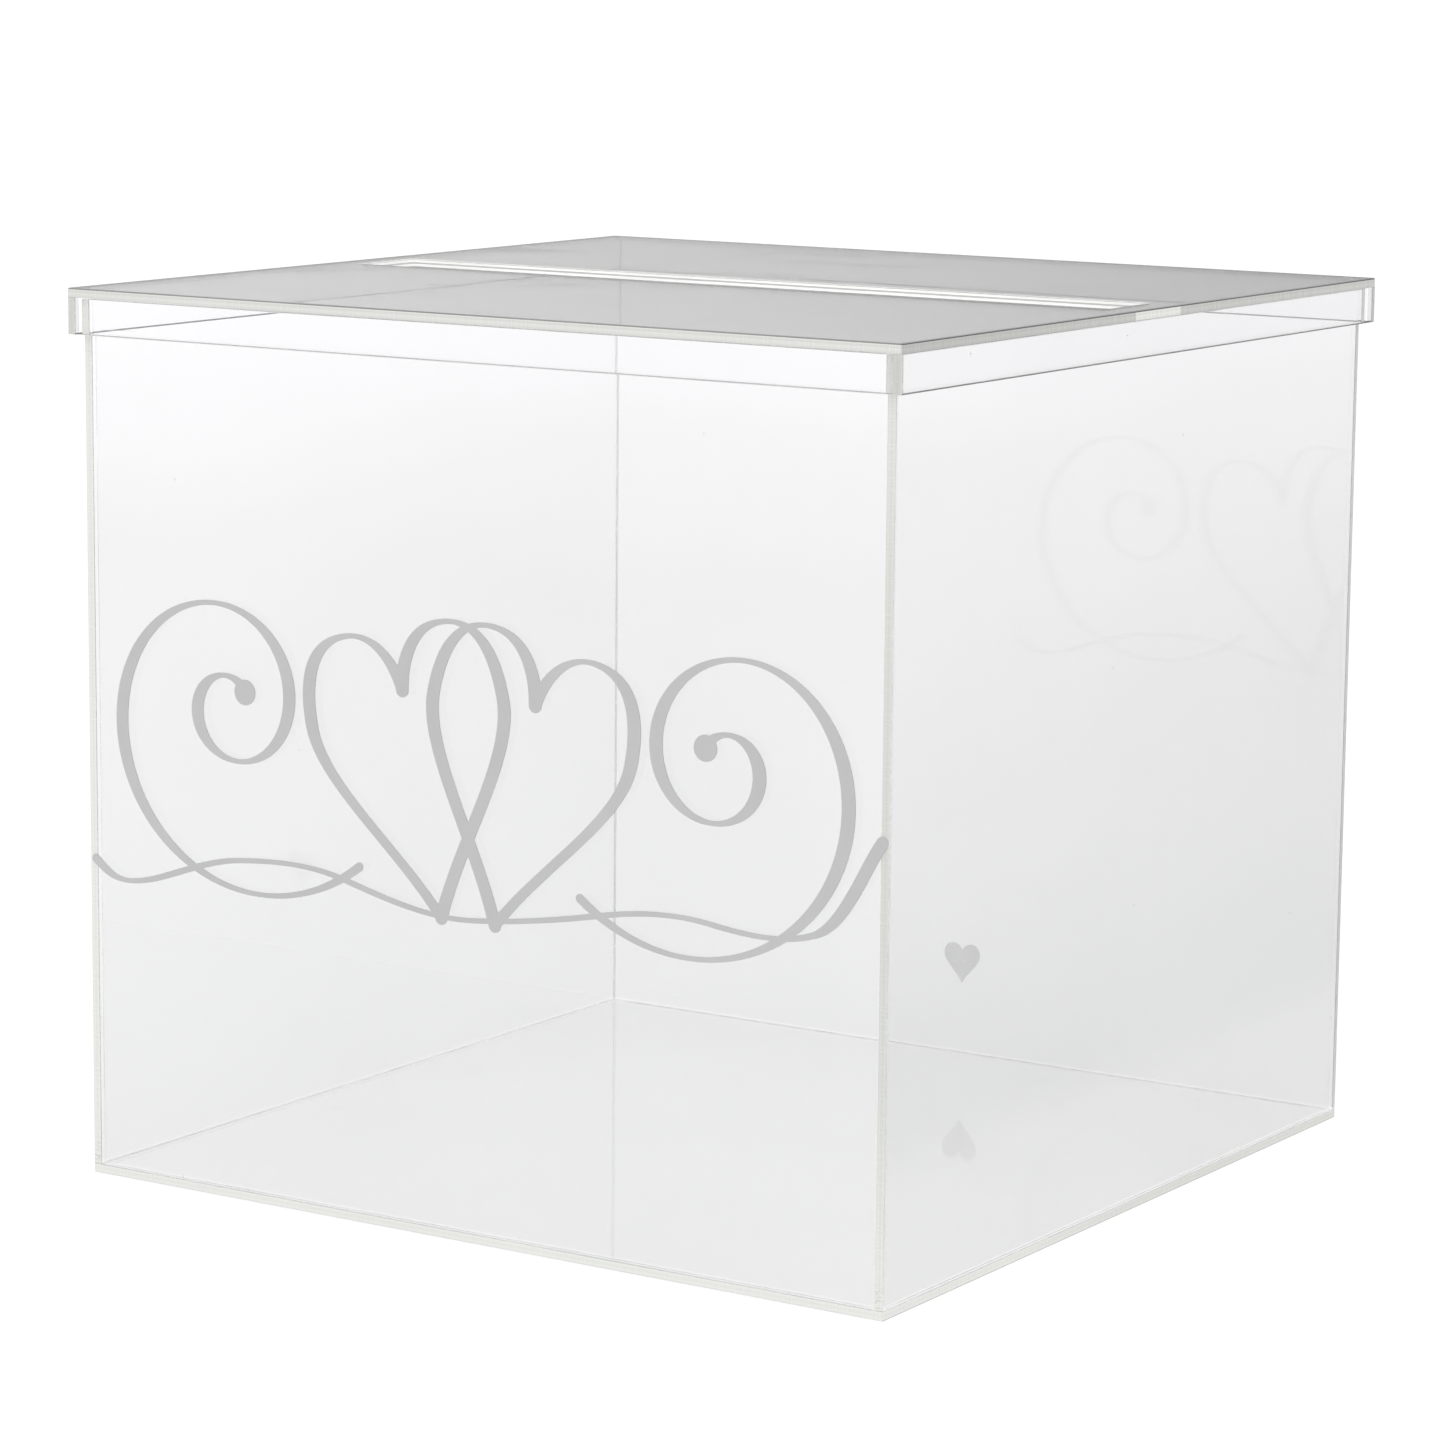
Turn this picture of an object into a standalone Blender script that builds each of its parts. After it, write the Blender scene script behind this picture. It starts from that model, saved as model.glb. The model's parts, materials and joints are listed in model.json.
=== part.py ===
"""Wedding card box: a clear acrylic box with a lift-off lid, and a card slot across the lid.

Units are metres and +Z is up. The origin is the centre of the underside of the base panel, which
stands on the table. The front panel, with the film ornament, faces -Y.

The box is five flat sheets: a base of the full footprint, two side walls that run its full depth,
and a front and a back wall that stand between them. The lid is a slotted top plate on four narrow
rim strips, which slide down outside the walls. Every glued joint keeps a film of GLUE between the
two sheets. The ornament and the small back mark are cut film on the outer faces of the walls.
"""

import math

import bmesh
import bpy
from mathutils import Matrix, Vector
from mathutils.geometry import interpolate_bezier

MM = 0.001

# Sheet and joints
SHEET = 2.5 * MM
GLUE = 0.3 * MM
EDGE_BREAK = 0.2 * MM

# Box
BOX_SIDE = 250 * MM
TOTAL_HEIGHT = 240 * MM

# Lid
LID_CLEARANCE = 0.6 * MM
RIM_HEIGHT = 9.5 * MM
SLOT_LENGTH = 238 * MM
SLOT_WIDTH = 25 * MM
SLOT_CORNER = 1.0 * MM

# Film on the walls
FILM = 0.2 * MM
FILM_GAP = 0.1 * MM
MARK_SIZE = 12 * MM
MARK_HEIGHT = 30 * MM

# Pen strokes of the ornament, in millimetres on the front panel
THIN_STROKE = 1.3
THICK_STROKE = 3.9
STROKE_CONTRAST = 1.6
POINTS_PER_SPAN = 11
CAP_POINTS = 5

PLATE_UNDERSIDE = TOTAL_HEIGHT - SHEET
WALL_BOTTOM = SHEET + GLUE
WALL_TOP = PLATE_UNDERSIDE - GLUE
LID_SIDE = BOX_SIDE + 2 * (SHEET + LID_CLEARANCE)

# The ornament's line across the panel, as knots (x, z, heading in degrees, reach of the handle)
VINE = [
    (-123, 87, -38, 7),
    (-106, 83, 12, 9),
    (-74, 92, 6, 12),
    (-40, 91, -14, 11),
    (0, 85, 4, 14),
    (40, 91, 12, 11),
    (74, 93, -8, 12),
    (104, 94, 20, 9),
    (123, 119, 55, 9),
]

SCROLL_CENTRE = (77, 133)
SCROLL_START_RADIUS = 57
SCROLL_END_RADIUS = 6.5
SCROLL_START_ANGLE = 318
SCROLL_SWEEP = -640
SCROLL_POINTS = 58
SCROLL_DOT_RADIUS = 3.4
DOT_POINTS = 18

HEART_WIDTH = 62
HEART_HEIGHT = 75
HEART_OFFSET = 17
HEART_MIDDLE = 125
HEART_TILT = 12


def clear_scene():
    for obj in list(bpy.data.objects):
        bpy.data.objects.remove(obj, do_unlink=True)


def new_collection(name):
    collection = bpy.data.collections.new(name)
    bpy.context.scene.collection.children.link(collection)
    return collection


def make_material(name, colour, roughness, transmission=0.0):
    material = bpy.data.materials.new(name)
    material.use_nodes = True
    shader = material.node_tree.nodes["Principled BSDF"]
    shader.inputs["Base Color"].default_value = (*colour, 1.0)
    shader.inputs["Roughness"].default_value = roughness
    shader.inputs["Metallic"].default_value = 0.0
    shader.inputs["Transmission Weight"].default_value = transmission
    shader.inputs["IOR"].default_value = 1.49
    return material


def clear_acrylic(piece_name):
    return make_material(piece_name + "_acrylic", (0.94, 0.97, 0.96), 0.03, transmission=0.9)


def grey_film(piece_name):
    return make_material(piece_name + "_film", (0.53, 0.53, 0.54), 0.55)


def place(obj, collection, parent=None):
    """Links the object, and parents it without moving it."""
    collection.objects.link(obj)
    if parent is not None:
        obj.parent = parent
        obj.matrix_parent_inverse = Matrix.Translation(parent.location).inverted()


def box_mesh(name, size):
    bm = bmesh.new()
    bmesh.ops.create_cube(bm, size=1.0)
    bmesh.ops.scale(bm, vec=Vector(size), verts=bm.verts)
    mesh = bpy.data.meshes.new(name)
    bm.to_mesh(mesh)
    bm.free()
    return mesh


def break_edges(obj):
    bevel = obj.modifiers.new("broken_edges", "BEVEL")
    bevel.width = EDGE_BREAK
    bevel.segments = 1
    bevel.limit_method = "ANGLE"


def add_sheet(name, size, centre, collection, parent=None):
    """One flat piece of clear sheet with its sharp edges broken."""
    obj = bpy.data.objects.new(name, box_mesh(name, size))
    obj.location = centre
    obj.data.materials.append(clear_acrylic(name))
    place(obj, collection, parent)
    break_edges(obj)
    return obj


# ---------------------------------------------------------------- box


def make_box(collection):
    """The base and the four walls: the side walls run full depth, the front and back between them."""
    wall_height = WALL_TOP - WALL_BOTTOM
    wall_middle = (WALL_TOP + WALL_BOTTOM) / 2
    wall_out = (BOX_SIDE - SHEET) / 2
    between = BOX_SIDE - 2 * (SHEET + GLUE)
    base_size = (BOX_SIDE, BOX_SIDE, SHEET)
    add_sheet("base_panel", base_size, (0, 0, SHEET / 2), collection)
    for name, side in (("left_panel", -1), ("right_panel", 1)):
        size = (SHEET, BOX_SIDE, wall_height)
        add_sheet(name, size, (side * wall_out, 0, wall_middle), collection)
    for name, side in (("front_panel", -1), ("back_panel", 1)):
        size = (between, SHEET, wall_height)
        add_sheet(name, size, (0, side * wall_out, wall_middle), collection)


# ---------------------------------------------------------------- lid


def make_slot_cutter(collection):
    bm = bmesh.new()
    bmesh.ops.create_cube(bm, size=1.0)
    bmesh.ops.scale(bm, vec=Vector((SLOT_LENGTH, SLOT_WIDTH, 4 * SHEET)), verts=bm.verts)
    upright = [e for e in bm.edges if abs(e.verts[0].co.z - e.verts[1].co.z) > SHEET]
    bmesh.ops.bevel(bm, geom=upright, offset=SLOT_CORNER, segments=3, affect="EDGES", profile=0.5)
    mesh = bpy.data.meshes.new("slot_cutter")
    bm.to_mesh(mesh)
    bm.free()
    cutter = bpy.data.objects.new("slot_cutter", mesh)
    cutter.location = (0, 0, PLATE_UNDERSIDE + SHEET / 2)
    cutter.hide_render = True
    cutter.display_type = "WIRE"
    collection.objects.link(cutter)
    return cutter


def make_lid(collection, cutters):
    """The slotted plate and its four rim strips, on an empty that stands on the lifting axis."""
    lift = bpy.data.objects.new("lid_lift_axis", None)
    lift.location = (0, 0, PLATE_UNDERSIDE)
    collection.objects.link(lift)

    plate_size = (LID_SIDE, LID_SIDE, SHEET)
    plate_centre = (0, 0, PLATE_UNDERSIDE + SHEET / 2)
    plate = add_sheet("lid_plate", plate_size, plate_centre, collection, lift)
    slot = plate.modifiers.new("card_slot", "BOOLEAN")
    slot.operation = "DIFFERENCE"
    slot.object = make_slot_cutter(cutters)
    plate.modifiers.move(plate.modifiers.find("card_slot"), 0)

    strip_out = (LID_SIDE - SHEET) / 2
    strip_middle = PLATE_UNDERSIDE - GLUE - RIM_HEIGHT / 2
    between = LID_SIDE - 2 * (SHEET + GLUE)
    for name, side in (("lid_rim_left", -1), ("lid_rim_right", 1)):
        size = (SHEET, LID_SIDE, RIM_HEIGHT)
        add_sheet(name, size, (side * strip_out, 0, strip_middle), collection, lift)
    for name, side in (("lid_rim_front", -1), ("lid_rim_back", 1)):
        size = (between, SHEET, RIM_HEIGHT)
        add_sheet(name, size, (0, side * strip_out, strip_middle), collection, lift)


# ---------------------------------------------------------------- film ornament


def smooth_path(knots):
    """Points along a smooth line through knots of (x, z, heading, reach)."""
    path = []
    for (x0, z0, heading0, reach0), (x1, z1, heading1, reach1) in zip(knots, knots[1:]):
        leave = Vector((math.cos(math.radians(heading0)), math.sin(math.radians(heading0)))) * reach0
        arrive = Vector((math.cos(math.radians(heading1)), math.sin(math.radians(heading1)))) * reach1
        start, end = Vector((x0, z0)), Vector((x1, z1))
        span = interpolate_bezier(start, start + leave, end - arrive, end, POINTS_PER_SPAN)
        path += span[1:] if path else span
    return [Vector(point[:2]) for point in path]


def scroll_path(side):
    """A spiral that leaves the vine, dips below it and winds in. side is -1 on the left."""
    path = []
    for step in range(SCROLL_POINTS + 1):
        share = step / SCROLL_POINTS
        radius = SCROLL_START_RADIUS * (SCROLL_END_RADIUS / SCROLL_START_RADIUS) ** share
        angle = math.radians(SCROLL_START_ANGLE + SCROLL_SWEEP * share)
        x = -SCROLL_CENTRE[0] + radius * math.cos(angle)
        path.append(Vector((-side * x, SCROLL_CENTRE[1] + radius * math.sin(angle))))
    return path


def heart_halves(centre, width, height, tilt):
    """The knots of a heart's two halves, each from the point at the bottom to the dip at the top."""
    turn = math.radians(tilt)

    def knot(x, z, heading, reach):
        turned_x = centre[0] + x * math.cos(turn) - z * math.sin(turn)
        turned_z = centre[1] + x * math.sin(turn) + z * math.cos(turn)
        return (turned_x, turned_z, heading + tilt, reach)

    halves = []
    for side in (-1, 1):
        halves.append(
            [
                knot(0, -0.55 * height, 90 - 28 * side, 0.30 * height),
                knot(side * 0.50 * width, 0.16 * height, 90, 0.20 * height),
                knot(side * 0.25 * width, 0.45 * height, 90 + 90 * side, 0.15 * width),
                knot(0, 0.24 * height, 90 + 170 * side, 0.10 * height),
            ]
        )
    return halves


def stroke_width(direction):
    """A broad pen: thin along the line of writing and thick across it."""
    rise = abs(direction.y) / direction.length
    return THIN_STROKE + (THICK_STROKE - THIN_STROKE) * rise**STROKE_CONTRAST


def round_end(middle, outward, radius):
    """Points of the half circle that closes a stroke, from its left side to its right."""
    across = Vector((-outward.y, outward.x))
    steps = [math.pi * k / (CAP_POINTS + 1) for k in range(1, CAP_POINTS + 1)]
    return [middle + radius * (math.cos(a) * across + math.sin(a) * outward) for a in steps]


def stroke_outline(path):
    """The closed outline of a pen stroke along the path."""
    left, right = [], []
    for i, point in enumerate(path):
        direction = path[min(i + 1, len(path) - 1)] - path[max(i - 1, 0)]
        half = stroke_width(direction) / 2
        across = Vector((-direction.y, direction.x)).normalized()
        left.append(point + half * across)
        right.append(point - half * across)
    first = (path[1] - path[0]).normalized()
    last = (path[-1] - path[-2]).normalized()
    end = round_end(path[-1], last, (left[-1] - path[-1]).length)
    start = round_end(path[0], -first, (left[0] - path[0]).length)
    return left + end + right[::-1] + start


def disc_outline(centre, radius):
    angles = [2 * math.pi * k / DOT_POINTS for k in range(DOT_POINTS)]
    return [centre + radius * Vector((math.cos(a), math.sin(a))) for a in angles]


def film_mesh(name, outline):
    """A sheet of film cut to an outline in millimetres: a filled flat curve, made a closed mesh.

    The curve's x and y become the panel's X and Z, and the film's thickness lies along Y.
    """
    curve = bpy.data.curves.new(name, "CURVE")
    curve.dimensions = "2D"
    curve.fill_mode = "BOTH"
    curve.extrude = FILM / 2
    spline = curve.splines.new("POLY")
    spline.points.add(len(outline) - 1)
    for point, (x, z) in zip(spline.points, outline):
        point.co = (x * MM, z * MM, 0, 1)
    spline.use_cyclic_u = True
    guide = bpy.data.objects.new(name, curve)
    bpy.context.scene.collection.objects.link(guide)
    graph = bpy.context.evaluated_depsgraph_get()
    mesh = bpy.data.meshes.new_from_object(guide.evaluated_get(graph))
    bpy.data.objects.remove(guide)
    bpy.data.curves.remove(curve)

    bm = bmesh.new()
    bm.from_mesh(mesh)
    bmesh.ops.remove_doubles(bm, verts=bm.verts, dist=0.001 * MM)
    bmesh.ops.rotate(bm, verts=bm.verts, matrix=Matrix.Rotation(math.pi / 2, 3, "X"))
    bmesh.ops.recalc_face_normals(bm, faces=bm.faces)
    bm.to_mesh(mesh)
    bm.free()
    return mesh


def ornament_outlines():
    """Two linked hearts over a vine that runs from edge to edge, with a scroll on each side."""
    outlines = {"vine": stroke_outline(smooth_path(VINE))}
    for label, side in (("left", -1), ("right", 1)):
        path = scroll_path(side)
        outlines[label + "_scroll"] = stroke_outline(path)
        outlines[label + "_scroll_dot"] = disc_outline(path[-1], SCROLL_DOT_RADIUS)
        centre = (side * HEART_OFFSET, HEART_MIDDLE)
        halves = heart_halves(centre, HEART_WIDTH, HEART_HEIGHT, -side * HEART_TILT)
        for half_label, knots in zip(("left", "right"), halves):
            name = label + "_heart_" + half_label + "_half"
            outlines[name] = stroke_outline(smooth_path(knots))
    return outlines


def make_ornament(collection, helpers):
    """All the strokes joined into one piece of film on the front panel."""
    strokes = bpy.data.collections.new("ornament_strokes")
    helpers.children.link(strokes)
    front = -(BOX_SIDE / 2 + FILM_GAP + FILM / 2)
    outlines = ornament_outlines()
    ornament = bpy.data.objects.new("front_ornament", film_mesh("front_ornament", outlines.pop("vine")))
    ornament.location = (0, front, 0)
    ornament.data.materials.append(grey_film("front_ornament"))
    place(ornament, collection)
    for name, outline in outlines.items():
        stroke = bpy.data.objects.new(name + "_stroke", film_mesh(name, outline))
        stroke.location = (0, front, 0)
        stroke.hide_render = True
        stroke.display_type = "WIRE"
        strokes.objects.link(stroke)
    union = ornament.modifiers.new("strokes_joined", "BOOLEAN")
    union.operation = "UNION"
    union.operand_type = "COLLECTION"
    union.collection = strokes


def make_back_mark(collection):
    """A small plain heart, low on the back panel."""
    centre = (0, MARK_HEIGHT / MM)
    left, right = heart_halves(centre, MARK_SIZE / MM, MARK_SIZE / MM, 0)
    outline = smooth_path(left)[:-1] + smooth_path(right)[:0:-1]
    mark = bpy.data.objects.new("back_mark", film_mesh("back_mark", outline))
    mark.location = (0, BOX_SIDE / 2 + FILM_GAP + FILM / 2, 0)
    mark.data.materials.append(grey_film("back_mark"))
    place(mark, collection)


def main():
    clear_scene()
    parts = new_collection("wedding_card_box")
    cutters = new_collection("cutters")
    make_box(parts)
    make_lid(parts, cutters)
    make_ornament(parts, cutters)
    make_back_mark(parts)


main()
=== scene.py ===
import json
import math
import random

import bmesh
import bpy
from mathutils import Matrix, Quaternion, Vector
from mathutils.geometry import interpolate_bezier


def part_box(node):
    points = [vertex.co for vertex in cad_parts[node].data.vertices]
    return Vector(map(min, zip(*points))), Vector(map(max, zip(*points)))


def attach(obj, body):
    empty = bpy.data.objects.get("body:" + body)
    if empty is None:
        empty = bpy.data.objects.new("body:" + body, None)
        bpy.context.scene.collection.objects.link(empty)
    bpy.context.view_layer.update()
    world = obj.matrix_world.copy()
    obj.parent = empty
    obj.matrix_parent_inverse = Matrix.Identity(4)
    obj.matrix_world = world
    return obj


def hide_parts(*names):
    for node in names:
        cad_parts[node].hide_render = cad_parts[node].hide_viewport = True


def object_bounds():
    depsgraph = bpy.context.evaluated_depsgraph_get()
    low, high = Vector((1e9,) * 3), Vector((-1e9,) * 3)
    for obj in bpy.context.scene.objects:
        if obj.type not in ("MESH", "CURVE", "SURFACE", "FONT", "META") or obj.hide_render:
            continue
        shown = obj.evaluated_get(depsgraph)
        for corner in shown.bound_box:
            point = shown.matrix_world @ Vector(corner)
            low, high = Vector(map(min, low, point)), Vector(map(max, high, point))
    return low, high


MM = 0.001

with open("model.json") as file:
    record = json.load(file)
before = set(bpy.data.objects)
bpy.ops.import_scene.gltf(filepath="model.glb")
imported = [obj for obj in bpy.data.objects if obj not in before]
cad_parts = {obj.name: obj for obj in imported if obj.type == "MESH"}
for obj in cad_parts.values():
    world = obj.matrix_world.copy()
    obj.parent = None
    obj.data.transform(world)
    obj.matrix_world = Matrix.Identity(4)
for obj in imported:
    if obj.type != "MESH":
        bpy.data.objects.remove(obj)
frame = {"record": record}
cad_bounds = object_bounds()

# ---------------------------------------------------------------- sizes

# Glued joints: the gap that the CAD keeps, and the film of cement that is left here
GLUE = 0.3 * MM
SEAM = 0.05 * MM

# The span that tones along the depth and the height are placed in
HALF_DEPTH = 125 * MM
HEIGHT = 240 * MM

# Broken arrises
BOX_ARRIS_WIDTH = 0.22 * MM
LID_ARRIS_WIDTH = 0.38 * MM
FAR_RIM_ARRIS_WIDTH = 0.28 * MM
ARRIS_SEGMENTS = 2
SHARP = math.radians(40)
TOUCHING = 0.01 * MM

# Face numbers, in the order of a sheet's materials: its broad sides, its cut edges, its arrises, the
# arris that draws a line of painted shade, the faces glued on top or bottom, and the slot's edge or
# the glued ends
BROAD, EDGE, ARRIS, LINE, GLUED, LAST = range(6)
# How far a face leans from lying flat on the sheet's broad side, as its normal's share
BROAD_LEAN = 0.99
EDGE_LEAN = 0.05
LINE_LEAN = 0.3
LIT_LEAN = 0.1

# Card slot: its corner radius, and how much wider it is on each side than the record's opening
SLOT_CORNER = 1.0 * MM
SLOT_CORNER_SEGMENTS = 5
SLOT_MARGIN = Vector((1.5, 0.5, 0)) * MM
# The painted glint in the plate's side edges reaches this far from the middle
GLINT_REACH = 12.2 * MM
# The foot of the walls that is left clear of tinting and painted shade, and how softly it ends
FOOT_STRIP = 2.9 * MM
STRIP_BLEND = 0.4 * MM

# Beads of cement
FILLET = 0.2 * MM
FILLET_STEP = 2.5 * MM
FILLET_ARC = 3
FILLET_LEAST = 0.55
FILLET_TIP = 0.1
FILLET_SWELL = 0.3
CLEAR_OF_SHEET = 0.02 * MM
CEMENT_SEED = 7

# Ornament, in millimetres on the front panel
THIN_STROKE = 1.3
THICK_STROKE = 3.9
STROKE_CONTRAST = 1.6
POINTS_PER_SPAN = 33
CAP_POINTS = 11
FILM = 0.2
WELD = 0.001 * MM

# Knots of (x, z, heading in degrees, reach of the curve on either side)
VINE = [
    (-123, 87, -38, 7),
    (-106, 83, 12, 9),
    (-74, 92, 6, 12),
    (-40, 91, -14, 11),
    (0, 85, 4, 14),
    (40, 91, 12, 11),
    (74, 93, -8, 12),
    (104, 94, 20, 9),
    (123, 119, 55, 9),
]

SCROLL_CENTRE = (77, 133)
SCROLL_START_RADIUS = 57
SCROLL_END_RADIUS = 6.5
SCROLL_START_ANGLE = 318
SCROLL_SWEEP = -640
SCROLL_POINTS = 240
SCROLL_DOT_RADIUS = 3.4
DOT_POINTS = 48

HEART_WIDTH = 62
HEART_HEIGHT = 75
HEART_OFFSET = 17
HEART_MIDDLE = 125
HEART_TILT = 12

MARK_SIZE = 12
MARK_HEIGHT = 30

# Camera: where it stands round the object, in degrees, and how far from its centre
VIEW_AZIMUTH = 32.9
VIEW_ELEVATION = 9.6
VIEW_ROLL = 0.55
VIEW_DISTANCE = 1.363
VIEW_LENS = 123.5
VIEW_SENSOR = 36
VIEW_CLIP = (0.05, 200)
AIM_OFFSET = Vector((-2.9, -2.0, -0.9)) * MM


# ---------------------------------------------------------------- material helpers

# Where most of a noise's values lie
NOISE_SPAN = (0.3, 0.7)


def new_material(name):
    material = bpy.data.materials.new(name)
    material.use_nodes = True
    tree = material.node_tree
    return material, tree, tree.nodes["Principled BSDF"]


def node(tree, kind, inputs=None, **settings):
    """Adds a node. inputs gives each input a value or the output to link to it."""
    made = tree.nodes.new(kind)
    for key, value in settings.items():
        setattr(made, key, value)
    for key, value in (inputs or {}).items():
        if isinstance(value, bpy.types.NodeSocket):
            tree.links.new(value, made.inputs[key])
        else:
            made.inputs[key].default_value = value
    return made


def math_node(tree, operation, first, second=0.0, clamp=False):
    made = node(tree, "ShaderNodeMath", {0: first, 1: second}, operation=operation)
    made.use_clamp = clamp
    return made.outputs[0]


def ramp(tree, factor, stops, interpolation="LINEAR"):
    made = node(tree, "ShaderNodeValToRGB", {"Fac": factor})
    made.color_ramp.interpolation = interpolation
    elements = made.color_ramp.elements
    while len(elements) < len(stops):
        elements.new(0.5)
    for element, (position, colour) in zip(elements, stops):
        element.position = position
        element.color = (*colour, 1) if isinstance(colour, tuple) else (colour, colour, colour, 1)
    return made.outputs["Color"]


def map_range(tree, value, low, high, to_low, to_high):
    inputs = {"Value": value, "From Min": low, "From Max": high, "To Min": to_low, "To Max": to_high}
    return node(tree, "ShaderNodeMapRange", inputs).outputs["Result"]


def object_coords(tree, scale=(1, 1, 1), rotation=(0, 0, 0)):
    coords = tree.nodes.new("ShaderNodeTexCoord")
    turned = node(tree, "ShaderNodeMapping", {"Vector": coords.outputs["Object"]})
    turned.inputs["Scale"].default_value = scale
    turned.inputs["Rotation"].default_value = rotation
    return turned.outputs["Vector"]


def noise(tree, vector, scale, detail):
    inputs = {"Vector": vector, "Scale": scale, "Detail": detail}
    return node(tree, "ShaderNodeTexNoise", inputs).outputs["Fac"]


def multiply(tree, first, second):
    made = node(tree, "ShaderNodeMix", data_type="RGBA", blend_type="MULTIPLY")
    made.inputs["Factor"].default_value = 1.0
    tree.links.new(first, made.inputs["A"])
    tree.links.new(second, made.inputs["B"])
    return made.outputs["Result"]


def mix(tree, factor, first, second):
    """Mixes two colours, of which the first may be an output to link to."""
    made = node(tree, "ShaderNodeMix", data_type="RGBA")
    tree.links.new(factor, made.inputs["Factor"])
    if isinstance(first, bpy.types.NodeSocket):
        tree.links.new(first, made.inputs["A"])
    else:
        made.inputs["A"].default_value = (*first, 1)
    made.inputs["B"].default_value = (*second, 1)
    return made.outputs["Result"]


def from_inside(tree, colour, inner):
    """The colour, or the inner one where the face is seen through the sheet: painted light and shade.
    """
    side = tree.nodes.new("ShaderNodeNewGeometry").outputs["Backfacing"]
    return mix(tree, side, colour, inner)


def grey(tree, value):
    """A grey of the given value."""
    made = node(tree, "ShaderNodeCombineColor", {"Red": value, "Green": value, "Blue": value})
    return made.outputs["Color"]


def sideways(tree):
    """How far a face looks to the left or the right, from 0 to 1."""
    coords = tree.nodes.new("ShaderNodeTexCoord")
    facing = node(tree, "ShaderNodeSeparateXYZ", {"Vector": coords.outputs["Normal"]})
    return math_node(tree, "ABSOLUTE", facing.outputs["X"])


def bump(tree, height, distance, normal=None):
    made = node(tree, "ShaderNodeBump", {"Height": height, "Distance": distance, "Strength": 1.0})
    if normal is not None:
        tree.links.new(normal, made.inputs["Normal"])
    return made.outputs["Normal"]


# ---------------------------------------------------------------- clear sheet

ACRYLIC_IOR = 1.49
# Scratches: (turn in radians, stretch along the run), and how much of the noise is a scratch
SCRATCH_RUNS = ((0.5, 9), (-0.9, 7))
SCRATCH_FINENESS = 900
SCRATCH_FROM, SCRATCH_TO = 0.735, 0.76
SCRATCH_DEPTH = 0.002 * MM
SCRATCH_ROUGHNESS = 0.05
# Specks: cells to the metre, a speck's size as a share of its cell, and the share left out
SPECK_CELLS = 55.0
SPECK_CORE, SPECK_RIM = 0.012, 0.028
SPECK_LEFT_OUT = 0.62
SPECK_SHADE = 0.3
SPECK_ROUGHNESS = 0.3
# Slow changes: of tone, of roughness where the sheet was handled, and of its surface
CLOUD_SCALE = 14.0
CLOUD_TONE = 0.985
SMUDGE_SCALE = 38.0
SMUDGE_ROUGHNESS = 0.012
WAVE_SCALE = 22.0
WAVE_HEIGHT = 0.02 * MM


def scratches(tree):
    """Faint straight scratches in two directions: 1 on a scratch and 0 elsewhere."""
    lines = []
    for turn, stretch in SCRATCH_RUNS:
        scale = (stretch, SCRATCH_FINENESS, SCRATCH_FINENESS)
        field = noise(tree, object_coords(tree, scale, (turn, turn * 0.6, turn)), 1.0, 1.0)
        lines.append(map_range(tree, field, SCRATCH_FROM, SCRATCH_TO, 0.0, 1.0))
    return math_node(tree, "MAXIMUM", *lines)


def specks(tree):
    """Dust and pin-prick marks, few and far between: 1 on a speck."""
    cells = node(tree, "ShaderNodeTexVoronoi", {"Vector": object_coords(tree), "Scale": SPECK_CELLS})
    near = map_range(tree, cells.outputs["Distance"], SPECK_CORE, SPECK_RIM, 1.0, 0.0)
    split = node(tree, "ShaderNodeSeparateColor", {"Color": cells.outputs["Color"]})
    chosen = math_node(tree, "GREATER_THAN", split.outputs["Red"], SPECK_LEFT_OUT)
    return math_node(tree, "MULTIPLY", near, chosen)


def clear_acrylic(name, tint_and_shade_stops, back_fade=1.0, clear_foot=False):
    """Clear sheet. Its stops give its tinting against height, as a share of the object's height, and
    on the walls painted shade that darkens them lower down.

    back_fade paints shade on it, evenly darker towards the back, and clear_foot leaves the foot
    clear of tinting and painted shade.
    """
    material, tree, shader = new_material(name)
    coords = tree.nodes.new("ShaderNodeTexCoord")
    split = node(tree, "ShaderNodeSeparateXYZ", {"Vector": coords.outputs["Object"]})
    height = map_range(tree, split.outputs["Z"], 0.0, HEIGHT, 0.0, 1.0)
    # The sheet's tinting, and on the walls painted shade lower down
    tint_and_shade = ramp(tree, height, tint_and_shade_stops, "EASE")
    cloud_noise = noise(tree, object_coords(tree), CLOUD_SCALE, 3.0)
    cloud = map_range(tree, cloud_noise, *NOISE_SPAN, CLOUD_TONE, 1.0)
    speck = specks(tree)
    marks = math_node(tree, "SUBTRACT", cloud, math_node(tree, "MULTIPLY", speck, SPECK_SHADE))
    # Painted shade, evenly darker towards the back
    if back_fade < 1.0:
        fade = map_range(tree, split.outputs["Y"], -HALF_DEPTH, HALF_DEPTH, 1.0, back_fade)
        marks = math_node(tree, "MULTIPLY", marks, fade)
    colour = multiply(tree, tint_and_shade, grey(tree, marks))
    if clear_foot:
        foot = map_range(tree, split.outputs["Z"], FOOT_STRIP, FOOT_STRIP + STRIP_BLEND, 1.0, 0.0)
        colour = mix(tree, foot, colour, (1, 1, 1))
    tree.links.new(colour, shader.inputs["Base Color"])
    wear_sheet(tree, shader, speck)
    shader.inputs["IOR"].default_value = ACRYLIC_IOR
    shader.inputs["Transmission Weight"].default_value = 1.0
    return material


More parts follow.
